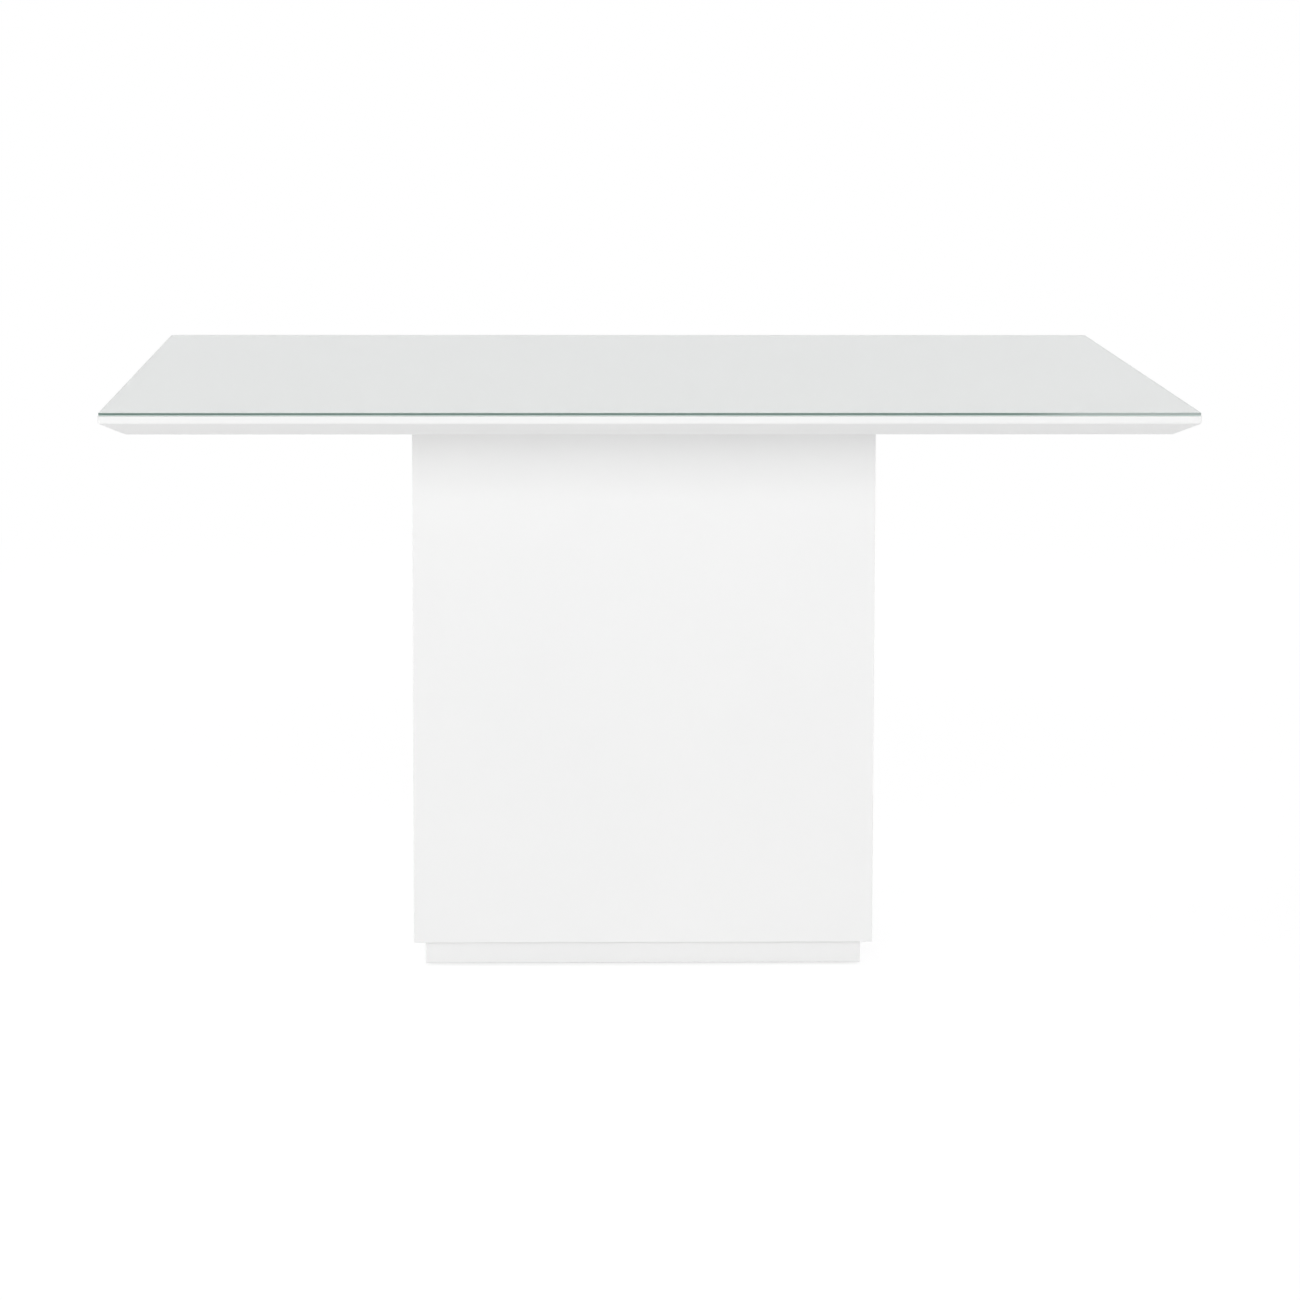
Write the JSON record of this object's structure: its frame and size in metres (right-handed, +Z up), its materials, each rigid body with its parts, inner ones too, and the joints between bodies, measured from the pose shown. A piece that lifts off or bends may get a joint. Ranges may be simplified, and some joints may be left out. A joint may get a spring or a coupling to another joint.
{
  "type": "square dining table",
  "caption": "Square pedestal dining table: white lacquered bevelled top under a clear glass sheet, on a hollow box column with a recessed plinth.",
  "frame": {"origin": "on the floor, under the centre of the table", "axes": "+Z up, +X to the right seen from the front, front towards -Y"},
  "size_m": [1.35, 1.35, 0.76],
  "materials": {
    "float_glass": "polished",
    "clear_tape": "satin",
    "white_lacquer": "satin",
    "raw_mdf": "matte",
    "planed_pine": "matte",
    "beech_dowel": "matte",
    "zinc_steel": "satin",
    "glide_plastic": "satin"
  },
  "bodies": {
    "root": {"glass_top": "float_glass", "tape_pads": "clear_tape", "top_board": "white_lacquer", "column_front_wall": "white_lacquer", "column_back_wall": "white_lacquer", "column_left_wall": "white_lacquer", "column_right_wall": "white_lacquer", "plinth_front_rail": "white_lacquer", "plinth_back_rail": "white_lacquer", "plinth_left_rail": "white_lacquer", "plinth_right_rail": "white_lacquer", "bolting_plate": "raw_mdf", "corner_post_front_left": "planed_pine", "corner_post_front_right": "planed_pine", "corner_post_back_left": "planed_pine", "corner_post_back_right": "planed_pine", "top_cleat_front": "planed_pine", "top_cleat_back": "planed_pine", "top_cleat_left": "planed_pine", "top_cleat_right": "planed_pine", "plinth_block_front_left": "planed_pine", "plinth_block_front_right": "planed_pine", "plinth_block_back_left": "planed_pine", "plinth_block_back_right": "planed_pine", "corner_dowels": "beech_dowel", "top_inserts": "zinc_steel", "top_washers": "zinc_steel", "top_bolts": "zinc_steel", "post_screws": "zinc_steel", "cleat_screws": "zinc_steel", "plate_screws": "zinc_steel", "rail_screws": "zinc_steel", "glide_nails": "zinc_steel", "floor_glides": "glide_plastic"}
  },
  "joints": []
}
